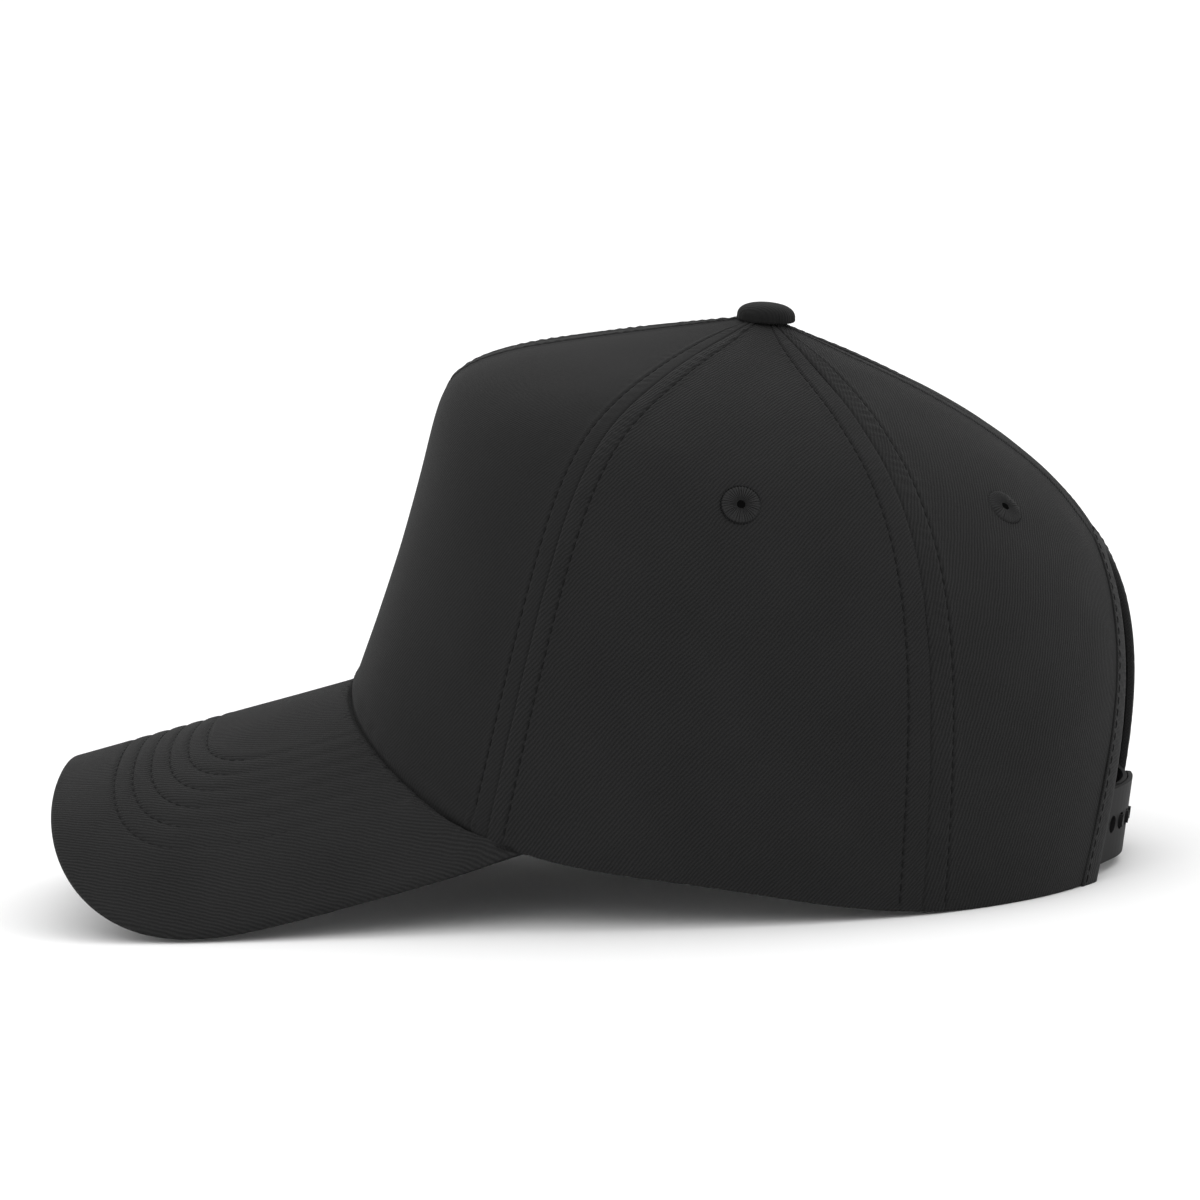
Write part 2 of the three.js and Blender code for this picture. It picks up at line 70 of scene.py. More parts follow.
PANEL_THICK = 0.9
LINING_DEPTH = 1.2
LINING_THICK = 0.5
PAD_DEPTH = 2.0
PAD_THICK = 1.1
SWEATBAND_DEPTH = 3.4
SWEATBAND_THICK = 0.8
SWEATBAND_HEM = 1.2
SWEATBAND_TOP = 32
TAPE_HALF_WIDTH = 7
HEM_GAP = 2.5

ARCH_HALF_WIDTH = 32
ARCH_HEIGHT = 80
ARCH_SQUARENESS = 1.4
BINDING_WIDTH = 7
BINDING_ROW = 5.6

VISOR = dict(radius=85, slope=0.232, ridge=53.9, ridge_y=-97, half_width=76, depth=84.7,
             widest_y=-87, squareness=4, corner_y=-45.5, corner_tuck=0.4, thick=3.3)
SEAM_END = radians(56.5)
ROUND_SHARE = 0.72
ROLL = 1.5
BOARD_END = 0.88
BOARD_FROM_SEAM = 4.5
BOARD_FROM_EDGE = 1.7
ROW_FIRST = 16.5
ROW_PITCH = 4.58
ROW_COUNT = 6
ROW_SQUARENESS = 4.5
ROW_WIDER = 2

EYELET_THREADS = 36
HOLE_RADIUS = 1.05
BUTTON = dict(radius=7.4, height=3.7, tilt=radians(7), lift=0.6, roundness=0.8)

# How far to move the shapes along Y into the frame.
washer_low, washer_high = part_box("button_washer")
SHIFT = 500 * (washer_low.y + washer_high.y) - APEX["y"]

# -------------------- the crown's surface


def around(values, phi):
    """A smooth curve through values at equal steps from front to back, the same on both sides."""
    last = len(values) - 1
    total = 0
    for m in range(last + 1):
        share = sum(
            value * cos(m * k * pi / last) * (0.5 if k in (0, last) else 1)
            for k, value in enumerate(values)
        )
        total = total + share * np.cos(m * phi) * (1 if m in (0, last) else 2) / last
    return total


def superellipse(angle, first, second, n):
    """The reach at an angle of a superellipse with two half widths and a squareness n."""
    return (np.abs(np.cos(angle) / first) ** n + np.abs(np.sin(angle) / second) ** n) ** (-1 / n)


def plan_point(ring, phi):
    """A point of one of the crown's rings in plan."""
    c, s = np.cos(phi), np.sin(phi)
    ahead = np.where(c > 0, ring["front"], ring["back"])
    r = superellipse(phi, ahead, ring["half_width"], ring["squareness"])
    return np.stack([r * s, ring["middle"] - r * c], -1)


def crown(phi, t):
    """Points of the crown's outer face."""
    phi, t = np.broadcast_arrays(np.asarray(phi, float), np.asarray(t, float))
    hem_height = np.maximum(around(HEM_HEIGHT, phi), 0)
    hem = np.concatenate([plan_point(OPENING, phi), hem_height[..., None]], -1)
    turned = phi + TURN_ONCE * np.sin(phi) + TURN_TWICE * np.sin(2 * phi)
    shoulder_height = around(SHOULDER_HEIGHT, phi)
    shoulder = np.concatenate([plan_point(SHOULDER, turned), shoulder_height[..., None]], -1)
    apex = np.stack([
        APEX["radius"] * np.sin(phi),
        APEX["y"] - APEX["radius"] * np.cos(phi),
        APEX["z"] + APEX["front_rise"] * np.cos(phi),
    ], -1)
    pull = around(SHOULDER_PULL, phi)[..., None]
    full = around(FULLNESS_SHARE, phi)
    heavy = 1 + 2 * pull
    wall = (hem + 2 * pull * shoulder) / heavy
    wall[..., 1] += FULLNESS["wall"] * full
    top = (apex + 2 * pull * shoulder) / heavy
    top[..., 1] -= FULLNESS["forward"] * full
    top[..., 2] += FULLNESS["lift"] * full
    t = t[..., None]
    weights = [(1 - t) ** 3, heavy * (1 - t) ** 2 * t, heavy * (1 - t) * t * t, t**3]
    return sum(w * p for w, p in zip(weights, (hem, wall, top, apex))) / sum(weights)


def unit(v):
    return v / np.maximum(np.linalg.norm(v, axis=-1, keepdims=True), 1e-9)


def gaps(points, axis=0):
    """Distances between neighbouring points."""
    return np.linalg.norm(np.diff(points, axis=axis), axis=-1)


def travelled(path):
    """The length from a line's start to each of its points."""
    return np.concatenate([[0], np.cumsum(gaps(path))])


def outward(phi, t):
    """The direction away from the crown's outer face."""
    phi, t = np.broadcast_arrays(np.asarray(phi, float), np.asarray(t, float))
    step = 1e-3
    across = crown(phi + step, t) - crown(phi - step, t)
    rising = crown(phi, np.minimum(t + step, 1)) - crown(phi, np.maximum(t - step, 0))
    normal = np.cross(across, rising)
    normal[..., 2] = np.where(t <= 0, 0, normal[..., 2])
    return unit(normal)


def layer(phi, t, depth):
    """Points at a depth under the crown's outer face."""
    return crown(phi, t) - outward(phi, t) * np.asarray(depth)[..., None]


def arc(phi, t):
    """Length of the crown per radian round it."""
    step = 1e-3
    return np.linalg.norm(crown(phi + step, t) - crown(phi - step, t), axis=-1) / (2 * step)


def climb(phi, lengths):
    """The t at some lengths up the profile from the hem, for each phi."""
    steps = np.linspace(0, 1, 301)
    phi = np.atleast_1d(np.asarray(phi, float))
    points = crown(phi[:, None], steps[None, :])
    gone = np.cumsum(gaps(points, 1), axis=1)
    gone = np.concatenate([np.zeros((len(phi), 1)), gone], 1)
    lengths = np.broadcast_to(np.asarray(lengths, float), (len(phi), np.size(lengths)))
    return np.stack([np.interp(lengths[k], gone[k], steps) for k in range(len(phi))])


def smooth(x, low, high):
    """0 before low, 1 after high, and a smooth step between."""
    f = np.clip((x - low) / (high - low), 0, 1)
    return f * f * (3 - 2 * f)


def bell(x, width):
    """1 at x = 0, and fading to nothing at about twice the width."""
    return np.exp(-((x / width) ** 2))


def lumps(points, size, seed):
    """Smooth random heights from -1 to 1 at points in space, with bumps about size apart."""
    table = np.random.default_rng(seed).uniform(-1, 1, 4096)
    q = np.asarray(points, float) / size + 512.0
    cell = np.floor(q).astype(np.int64)
    f = q - cell
    f = f * f * (3 - 2 * f)
    total = 0
    for corner in range(8):
        bits = [(corner >> k) & 1 for k in range(3)]
        key = 0
        weight = 1
        for k, prime in enumerate((73856093, 19349663, 83492791)):
            key = key ^ ((cell[..., k] + bits[k]) * prime)
            weight = weight * (f[..., k] if bits[k] else 1 - f[..., k])
        total = total + weight * table[key & 4095]
    return total


def ripple(length, pitch, seed):
    """An uneven wave along a seam, such as its puckers make."""
    line = np.stack([length, length * 0, length * 0], -1)
    drift = lumps(line, 3 * pitch, seed)
    strength = 0.6 + 0.8 * lumps(line, 2.1 * pitch, seed + 1)
    return strength * np.sin(2 * pi * length / pitch + 4.5 * drift)


# -------------------- meshes


def to_frame(points):
    """Points in metres in the frame. Nothing reaches below the table."""
    points = np.asarray(points, float) + [0, SHIFT, 0]
    points[..., 2] = np.maximum(points[..., 2], 0)
    return points / 1000


def add_piece(name, points, faces, material, slot, body="cap", uv=None, replaces=(), sharp=42):
    """A piece from points in mm. uv holds millimetres of cloth for each point."""
    mesh = bpy.data.meshes.new(name)
    mesh.from_pydata(to_frame(points).tolist(), [], [list(map(int, f)) for f in faces])
    mesh.update()
    if uv is not None:
        corners = np.zeros(len(mesh.loops), np.int32)
        mesh.loops.foreach_get("vertex_index", corners)
        cloth = np.asarray(uv, np.float32)[corners]
        mesh.uv_layers.new(name="UVMap").data.foreach_set("uv", cloth.ravel())
    mesh.shade_smooth()
    mesh.set_sharp_from_angle(angle=radians(sharp))
    mesh.materials.append(material)
    obj = bpy.data.objects.new(name, mesh)
    bpy.context.scene.collection.objects.link(obj)
    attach(obj, body)
    if replaces:
        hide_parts(*replaces)
    return obj


def quads(n, m, start=0, flip=False, wrap=False):
    """Faces of an n by m grid of points. With wrap, the last column joins the first."""
    i, j = np.meshgrid(np.arange(n if wrap else n - 1), np.arange(m - 1), indexing="ij")
    a = start + i * m + j
    b = start + ((i + 1) % n) * m + j
    faces = np.stack([a, b, b + 1, a + 1], -1).reshape(-1, 4)
    return faces[:, ::-1] if flip else faces


def shell(name, outer, inner, uv, material, slot, **more):
    """A closed sheet between two grids of points, with the outer one facing out."""
    n, m = outer.shape[:2]
    size = n * m
    faces = [quads(n, m), quads(n, m, size, flip=True)]
    low = np.arange(n) * m
    left = np.arange(m)
    for line, flip in ((low, False), (low + m - 1, True), (left, True), (left + (n - 1) * m, False)):
        a, b = line[:-1], line[1:]
        rim = np.stack([a, a + size, b + size, b], -1)
        faces.append(rim[:, ::-1] if flip else rim)
    points = np.concatenate([outer.reshape(-1, 3), inner.reshape(-1, 3)])
    both = np.concatenate([uv.reshape(-1, 2)] * 2)
    return add_piece(name, points, np.concatenate(faces), material, slot, uv=both, **more)


def band(name, place, columns, rows, depth, thick, material, slot, bump=None, **more):
    """A part of one crown layer: place(u, v) gives phi and t for u and v from 0 to 1."""
    u, v = np.meshgrid(np.linspace(0, 1, columns), np.linspace(0, 1, rows), indexing="ij")
    phi, t = place(u, v)
    raised = 0 if bump is None else bump(u, v, phi, t)
    outer = layer(phi, t, depth - raised)
    inner = layer(phi, t, depth + thick - raised)
    uv = np.zeros(u.shape + (2,))
    uv[1:, :, 0] = gaps(outer).cumsum(0)
    uv[:, 1:, 1] = gaps(outer, 1).cumsum(1)
    return shell(name, outer, inner, uv, material, slot, **more)


def tube_faces(rings, around_count, start=0, caps=True):
    """Faces of a tube of rings, each with around_count points."""
    faces = []
    k = np.arange(around_count)
    nxt = (k + 1) % around_count
    for r in range(rings - 1):
        a = start + r * around_count
        b = a + around_count
        faces += np.stack([a + k, a + nxt, b + nxt, b + k], -1).tolist()
    if caps:
        faces.append((start + k[::-1]).tolist())
        faces.append((start + (rings - 1) * around_count + k).tolist())
    return faces


STITCH_RINGS = 7
STITCH_SIDES = 6


def stitches(name, rows, material=None, length=2.5, gap=0.55, radius=0.2, lift=0.1):
    """Rows of sewn stitches. A row is a line of points and the directions away from the cloth."""
    points, faces = [], []
    for path, up in rows:
        gone = travelled(path)
        count = max(1, int(round(gone[-1] / (length + gap))))
        pitch = gone[-1] / count
        local = np.linspace(-1, 1, STITCH_RINGS)
        where = (np.arange(count)[:, None] + 0.5) * pitch + local * (pitch - gap) / 2
        centre = np.stack([np.interp(where, gone, path[:, k]) for k in range(3)], -1)
        normal = unit(np.stack([np.interp(where, gone, up[:, k]) for k in range(3)], -1))
        along = unit(np.gradient(centre, axis=1))
        side = unit(np.cross(along, normal))
        centre = centre + normal * (lift - (lift + 0.9 * radius) * np.abs(local)[:, None] ** 3)
        thin = radius * np.sqrt(1 - (0.96 * np.abs(local)) ** 4)
        angle = 2 * pi * np.arange(STITCH_SIDES) / STITCH_SIDES
        ring = side[:, :, None] * np.cos(angle)[:, None] + normal[:, :, None] * np.sin(angle)[:, None]
        rings = centre[:, :, None] + ring * thin[:, None, None]
        for stitch in rings.reshape(count, -1, 3):
            faces += tube_faces(STITCH_RINGS, STITCH_SIDES, len(points) * STITCH_RINGS * STITCH_SIDES)
            points.append(stitch)
    return add_piece(name, np.concatenate(points), faces, material or THREAD, "thread", sharp=80)


# -------------------- materials


class Nodes:
    """A few short ways to add shader nodes to one material."""

    def __init__(self, name, roughness, specular=0.3, metallic=0.0):
        self.material = bpy.data.materials.new(name)
        self.material.use_nodes = True
        self.tree = self.material.node_tree
        self.shader = self.tree.nodes["Principled BSDF"]
        self.shader.inputs["Roughness"].default_value = roughness
        self.shader.inputs["Specular IOR Level"].default_value = specular
        self.shader.inputs["Metallic"].default_value = metallic

    def add(self, kind, **inputs):
        node = self.tree.nodes.new("ShaderNode" + kind)
        for key, value in inputs.items():
            self.feed(node, key.replace("_", " "), value)
        return node

    def feed(self, node, key, value):
        socket = node.inputs[int(key)] if key.isdigit() else node.inputs[key]
        if isinstance(value, bpy.types.NodeSocket):
            self.tree.links.new(value, socket)
        else:
            socket.default_value = value

    def math(self, operation, *values):
        node = self.tree.nodes.new("ShaderNodeMath")
        node.operation = operation
        for k, value in enumerate(values):
            self.feed(node, str(k), value)
        return node.outputs[0]

    def ramp(self, value, low, high):
        """Runs from colour low to colour high as value goes from 0 to 1."""
        node = self.tree.nodes.new("ShaderNodeMix")
        node.data_type = "RGBA"
        self.tree.links.new(value, node.inputs["Factor"])
        node.inputs["A"].default_value = (*low, 1)
        node.inputs["B"].default_value = (*high, 1)
        return node.outputs["Result"]

    def colour(self, socket):
        self.tree.links.new(socket, self.shader.inputs["Base Color"])

    def bump(self, height, distance_mm, strength=1.0):
        node = self.add("Bump", Height=height, Strength=strength, Distance=distance_mm / 1000)
        self.tree.links.new(node.outputs["Normal"], self.shader.inputs["Normal"])

    def sheen(self, weight):
        self.shader.inputs["Sheen Weight"].default_value = weight
        self.shader.inputs["Sheen Roughness"].default_value = 0.5
        self.shader.inputs["Sheen Tint"].default_value = (1, 1, 1, 1)


def shade(colour, factor):
    """The colour, lighter or darker by a factor."""
    return tuple(c * factor for c in colour)


def twill(name, colour, rib_degrees, pitch=0.85, relief=0.2, contrast=0.7):
    """Cotton twill: slanting ribs that rise to the right, each broken up by the crossing yarns."""
    n = Nodes(name, roughness=0.9, specular=0.07)
    cloth = n.tree.nodes.new("ShaderNodeUVMap")
    cloth.uv_map = "UVMap"
    wobble = n.add("TexNoise", Vector=cloth.outputs["UV"], Scale=0.14, Detail=3.0)
    parts = n.add("SeparateXYZ", Vector=cloth.outputs["UV"])
    u, v = parts.outputs["X"], parts.outputs["Y"]
    c, s = cos(radians(rib_degrees)), sin(radians(rib_degrees))
    across = n.math("SUBTRACT", n.math("MULTIPLY", v, c / pitch), n.math("MULTIPLY", u, s / pitch))
    across = n.math("ADD", across, n.math("MULTIPLY", wobble.outputs["Fac"], 1.6))
    along = n.math("ADD", n.math("MULTIPLY", u, c / 0.62), n.math("MULTIPLY", v, s / 0.62))
    along = n.math("ADD", along, n.math("MULTIPLY", n.math("FLOOR", across), 0.5))
    rib = n.math("MULTIPLY_ADD", n.math("COSINE", n.math("MULTIPLY", across, 2 * pi)), 0.5, 0.5)
    yarn = n.math("MULTIPLY_ADD", n.math("COSINE", n.math("MULTIPLY", along, 2 * pi)), 0.17, 0.83)
    fine = n.add("TexNoise", Vector=cloth.outputs["UV"], Scale=1.9, Detail=3.0, Roughness=0.75)
    height = n.math("MULTIPLY", n.math("MULTIPLY", rib, yarn), 0.75)
    height = n.math("MULTIPLY_ADD", fine.outputs["Fac"], 1.1, height)
    patches = n.add("TexNoise", Vector=cloth.outputs["UV"], Scale=0.035, Detail=4.0)
    tone = n.math("MULTIPLY_ADD", height, 0.55, n.math("MULTIPLY", patches.outputs["Fac"], 0.3))
    n.colour(n.ramp(tone, shade(colour, 1 - contrast), shade(colour, 1 + contrast)))
    n.bump(height, relief)
    n.sheen(0.035)
    return n.material


def plain_cloth(name, colour, thread=0.5, relief=0.12, roughness=0.9):
    """A plain weave: two sets of yarns that cross at right angles."""
    n = Nodes(name, roughness=roughness, specular=0.1)
    cloth = n.tree.nodes.new("ShaderNodeUVMap")
    cloth.uv_map = "UVMap"
    parts = n.add("SeparateXYZ", Vector=cloth.outputs["UV"])
    waves = [
        n.math("SINE", n.math("MULTIPLY", parts.outputs[axis], pi / thread)) for axis in ("X", "Y")
    ]
    weave = n.math("MULTIPLY_ADD", n.math("MULTIPLY", *waves), 0.5, 0.5)
    fine = n.add("TexNoise", Vector=cloth.outputs["UV"], Scale=2.0, Detail=3.0)
    height = n.math("MULTIPLY_ADD", fine.outputs["Fac"], 0.6, weave)
    n.colour(n.ramp(n.math("MULTIPLY", height, 0.65), shade(colour, 0.65), shade(colour, 1.35)))
    n.bump(height, relief)
    n.sheen(0.05)
    return n.material


def grainy(name, colour, roughness, scale, relief, specular=0.4, metallic=0.0, variation=0.15):
    """A material with a fine uneven surface, such as moulded plastic, board, foam or metal."""
    n = Nodes(name, roughness=roughness, specular=specular, metallic=metallic)
    where = n.tree.nodes.new("ShaderNodeTexCoord").outputs["Object"]
    fine = n.add("TexNoise", Vector=where, Scale=scale, Detail=4.0)
    broad = n.add("TexNoise", Vector=where, Scale=scale / 12, Detail=2.0)
    tone = n.math("MULTIPLY", broad.outputs["Fac"], 0.5)
    tone = n.math("MULTIPLY_ADD", fine.outputs["Fac"], 0.5, tone)
    n.colour(n.ramp(tone, shade(colour, 1 - variation), shade(colour, 1 + variation)))
    n.bump(fine.outputs["Fac"], relief)
    return n.material


def sewing_thread(name, colour, roughness=0.7, relief=0.05, variation=0.3):
    return grainy(name, colour, roughness, 3000, relief, specular=0.12, variation=variation)


BLACK = (0.0108, 0.0108, 0.0109)
TWILL_FRONT = twill("front twill", BLACK, 62, pitch=0.8, relief=0.07, contrast=0.7)
TWILL_SIDE = twill("side twill", BLACK, 55, pitch=0.8, contrast=0.9)
TWILL_BACK = twill("back twill", BLACK, 72, pitch=0.85, contrast=0.9)
TWILL_VISOR = twill("visor twill", shade(BLACK, 1.12), -27, contrast=0.95)
# The visor's underside is the same cloth made darker: painted shade, which gives the dark band where
# the bottom cloth rolls round the lower edge.
TWILL_UNDER = twill("under-visor twill", shade(BLACK, 0.6), 45)
TWILL_BUTTON = twill("button twill", shade(BLACK, 0.8), 60, pitch=0.8, relief=0.1, contrast=0.2)
TAPE = plain_cloth("tape weave", (0.019, 0.019, 0.021), thread=0.45)
BINDING_CLOTH = plain_cloth("binding weave", (0.0125, 0.0125, 0.0127), thread=0.5)
SWEATBAND_CLOTH = plain_cloth("sweatband weave", (0.021, 0.021, 0.023), thread=0.55)
BUCKRAM = plain_cloth("buckram weave", (0.032, 0.032, 0.034), thread=0.9, relief=0.3, roughness=0.7)
FOAM = grainy("foam", (0.042, 0.042, 0.045), 0.95, 900, 0.2)
BOARD = grainy("board", (0.045, 0.045, 0.047), 0.6, 500, 0.05)
THREAD = sewing_thread("thread", (0.0045, 0.0045, 0.0046))
VISOR_THREAD = sewing_thread("visor thread", (0.0075, 0.0075, 0.0077))
SATIN_THREAD = sewing_thread("satin thread", (0.0145, 0.0145, 0.0147), 0.6, 0.04, 0.35)
# A dark disc in each eyelet's hole: painted shade for the inside of the cap seen through the hole.
HOLE_SHADE = grainy("painted hole shade", (0.0025, 0.0025, 0.0025), 0.95, 900, 0.01, specular=0.0)
PLASTIC = grainy("moulded plastic", (0.0075, 0.0075, 0.0077), 0.6, 1400, 0.012, specular=0.09)
STEEL = grainy("steel", (0.55, 0.55, 0.56), 0.34, 900, 0.01, metallic=1.0, variation=0.06)

# -------------------- crown panels

# Columns at these distances from each seam, so that its groove, padding and stitches are sharp.
SEAM_COLUMNS = np.array([
    0, 0.14, 0.32, 0.6, 1, 1.5, 2.1, 2.8, 3.5, 4, 4.3, 4.55,
    4.8, 5.05, 5.3, 5.65, 6, 6.3, 6.7, 7.2, 8, 9.4, 11.5,
])
COLUMN_SPACING = 2.2
ROW_SPACING = 0.72
HEM_ROWS = np.array([0, 0.12, 0.3, 0.6, 1.0])
HEM_ROLL = 0.7

# The columns that the rows of stitches follow.
FRONT_STITCHES = 12
BACK_STITCHES = 16


def seam_relief(distance, length, rear, seed, column):
    """How far the cloth stands out beside a seam: padded by the seam allowance, and puckered."""
    row = SEAM_COLUMNS[column]
    padded = (0.34 if rear else 0.26) * (1 - smooth(distance, row - 0.4, row + 2.2))
    groove = -0.36 * bell(distance, 0.4) - 0.12 * bell(distance, 1.6)
    sewn = -0.4 * bell(distance - row, 0.5)
    inside = smooth(distance, 0.6, 2.4) * (1 - smooth(distance, row - 1.4, row + 0.2))
    outside = smooth(distance, row - 0.4, row + 0.6) * (1 - smooth(distance, row + 1.5, row + 5))
    puckers = (0.13 if rear else 0.07) * inside * ripple(length + 0.35 * distance, 2.7, seed)
    puckers = puckers + 0.05 * outside * ripple(length, 3.1, seed + 5)
    return padded + groove + sewn + puckers


def arch_reach(z):
    """Half the width of the back opening at a height."""
    n = ARCH_SQUARENESS
    return ARCH_HALF_WIDTH * np.clip(1 - np.clip(z / ARCH_HEIGHT, 0, 1) ** n, 0, 1) ** (1 / n)


def arch_outline(grow, angle):
    """The back opening's outline in x and z, wider by grow, at angles from the left foot."""
    r = superellipse(angle, ARCH_HALF_WIDTH + grow, ARCH_HEIGHT + grow, ARCH_SQUARENESS)
    return r * np.cos(angle), r * np.sin(angle)


def half_panel(low, high, rows, arch_end=None):
    """Columns and rows between two lines round the crown, with distances to both lines."""
    fine = np.linspace(low, high, 241)
    table = crown(fine[:, None], rows[None, :])
    low_width = gaps(table[:, len(rows) // 3]).sum()
    count = max(8, int(low_width / COLUMN_SPACING) - 10)
    phi, near, far = [], [], []
    for j in range(len(rows)):
        line, angles = table[:, j], fine
        if arch_end is not None and line[:, 2].min() < ARCH_HEIGHT:
            clear = np.abs(line[:, 0]) - arch_reach(line[:, 2])
            if arch_end == "high" and clear[-1] < 0:
                last = int(np.argmax(clear < 0))
                pair = slice(last - 1, last + 1)
                angles = np.append(angles[:last], np.interp(0, -clear[pair], fine[pair]))
            if arch_end == "low" and clear[0] < 0:
                first = int(np.argmax(clear > 0))
                pair = slice(first - 1, first + 1)
                angles = np.insert(angles[first:], 0, np.interp(0, clear[pair], fine[pair]))
            line = crown(angles, rows[j])
        gone = travelled(line)
        wide = gone[-1]
        scale = (1 + (2 * (SEAM_COLUMNS[-1] + 1.5) / wide) ** 3) ** (-1 / 3)
        edge = SEAM_COLUMNS * scale
        middle = np.linspace(edge[-1], wide - edge[-1], count)[1:-1]
        here = np.concatenate([edge, middle, wide - edge[::-1]])
        phi.append(np.interp(here, gone, angles))
        near.append(here / scale)
        far.append((wide - here) / scale)
    return np.stack(phi, 1), np.stack(near, 1), np.stack(far, 1)


def profile_rows(phi):
    """t at equal lengths up a profile, closer together at the hem."""
    total = gaps(crown(phi, np.linspace(0, 1, 400))).sum()
    body = np.linspace(HEM_ROWS[-1], total, int(total / ROW_SPACING))
    lengths = np.concatenate([HEM_ROWS[:-1], body])
    return climb(phi, lengths)[0], lengths


def crown_panel(name, parts, middle, material, softness, seed, arch_end=None):
    """One cloth panel. Each part is (low, high, relief at low, relief at high)."""
    rows, lengths = profile_rows(middle)
    angles, heights = [], []
    for low, high, low_relief, high_relief in parts:
        phi, near, far = half_panel(low, high, rows, arch_end)
        raised = low_relief(near, lengths[None, :], rows[None, :])
        raised = raised + high_relief(far, lengths[None, :], rows[None, :])
        shared = min(len(angles), 1)
        angles.append(phi[shared:])
        heights.append(raised[shared:])
    phi, raised = np.concatenate(angles), np.concatenate(heights)
    base = crown(phi, rows[None, :])
    normal = outward(phi, np.broadcast_to(rows[None, :], phi.shape))
    soft = softness * (0.42 * lumps(base, 27, seed) + 0.13 * lumps(base, 9, seed + 1))
    fade = smooth(lengths, 0, 14) * (1 - smooth(rows, 0.9, 1))
    near_hem = np.clip(HEM_ROLL - lengths, 0, HEM_ROLL)
    rolled = HEM_ROLL - np.sqrt(np.clip(HEM_ROLL**2 - near_hem**2, 0, None))
    raised = raised + soft * fade[None, :] - rolled[None, :]
    across = np.concatenate([np.zeros((1, base.shape[1])), gaps(base).cumsum(0)])
    if name.startswith("front"):
        above = base[..., 2] - visor_height(base[..., 0], base[..., 1])
        raised = raised - 0.8 * bell(np.maximum(above + 0.4, 0), 0.8)
        raised = raised + bell(above - 2.3, 1.3) * (0.36 + 0.24 * ripple(across, 2.6, seed + 3))
    outer = base + normal * raised[..., None]
    inner = base - normal * PANEL_THICK
    anchor = {None: 0.5, "high": 0, "low": 1}[arch_end]
    uv = np.zeros(phi.shape + (2,))
    uv[..., 0] = across - across[-1:] * anchor
    uv[..., 1] = lengths[None, :]
    shell(name + "_cloth", outer, inner, uv, material, "crown_twill", replaces=(name,))
    return outer, normal, rows


def relief(rear, seed, column):
    """What seam_relief gives for one seam."""
    return lambda distance, length, t: seam_relief(distance, length, rear, seed, column)


def dart_relief(distance, length, t):
    """The dart runs from the front panel's top corner to the button."""
    return seam_relief(distance, length, True, 40, BACK_STITCHES) * smooth(t, 0.5, 0.585)


def centre_relief(seed):
    """The centre-back seam, which starts at the top of the opening."""
    return lambda distance, length, t: (
        seam_relief(distance, length, False, seed, BACK_STITCHES) * smooth(length, 82, 90)
    )


def visor_height(x, y):
    """The visor is bent about one direction only: every line along it has the same slope."""
    r = VISOR["radius"]
    bend = np.sqrt(r**2 - np.clip(x, -r + 1, r - 1) ** 2)
    return VISOR["ridge"] - r + bend + VISOR["slope"] * (y - VISOR["ridge_y"])


def stitch_line(grid, column, start, end):
    """One row of stitches along a column of a panel's grid, between two t values."""
    outer, normal, rows = grid
    keep = (rows > start) & (rows < end)
    return outer[column][keep], normal[column][keep]


FRONT_ROW_START = 0.012
ROW_START = 0.004
DART_START = 0.575
ROW_END = 0.965
front = crown_panel(
    "front_panel",
    [
        (-FRONT_SEAM, 0, relief(False, 11, FRONT_STITCHES), dart_relief),
        (0, FRONT_SEAM, dart_relief, relief(False, 12, FRONT_STITCHES)),
    ],
    0.35, TWILL_FRONT, 0.35, 21,
)
dart = (len(front[0]) - 1) // 2
stitches("front_panel_stitching", [
    stitch_line(front, FRONT_STITCHES, FRONT_ROW_START, ROW_END),
    stitch_line(front, -1 - FRONT_STITCHES, FRONT_ROW_START, ROW_END),
    stitch_line(front, dart - BACK_STITCHES, DART_START, ROW_END),
    stitch_line(front, dart + BACK_STITCHES, DART_START, ROW_END),
])

for side, word in SIDES:
    seams = [side * FRONT_SEAM, side * BACK_SEAM, side * (CENTRE_BACK - 1e-4)]
    reliefs = [relief(True, 13 + side, FRONT_STITCHES), relief(False, 16 + side, BACK_STITCHES)]
    low, high = sorted(seams[:2])
    grid = crown_panel(
        word + "_side_panel", [(low, high, *reliefs[::side])], sum(seams[:2]) / 2,
        TWILL_SIDE, 1.0, 30 + side,
    )
    at_low, at_high = (FRONT_STITCHES, BACK_STITCHES)[::side]
    stitches(word + "_side_panel_stitching", [
        stitch_line(grid, at_low, ROW_START, ROW_END),
        stitch_line(grid, -1 - at_high, ROW_START, ROW_END),
    ])
    reliefs = [relief(True, 19 + side, BACK_STITCHES), centre_relief(22 + side)]
    low, high = sorted(seams[1:])
    end = "high" if side > 0 else "low"
    grid = crown_panel(
        word + "_back_panel", [(low, high, *reliefs[::side])], seams[1] * 0.8 + seams[2] * 0.2,
        TWILL_BACK, 1.0, 35 + side, arch_end=end,
    )
    outer_row, centre_row = (BACK_STITCHES, -1 - BACK_STITCHES)[::side]
    above_arch = float(climb(CENTRE_BACK, ARCH_HEIGHT + BINDING_WIDTH + 5)[0, 0])
    stitches(word + "_back_panel_stitching", [
        stitch_line(grid, outer_row, ROW_START, ROW_END),
        stitch_line(grid, centre_row, above_arch, ROW_END),
    ])

# -------------------- linings and tapes


def tape_half(seam, t):
    """Half a tape's width, which is less where the panels come together at the button."""
    return np.minimum(TAPE_HALF_WIDTH, 0.4 * arc(seam, t))


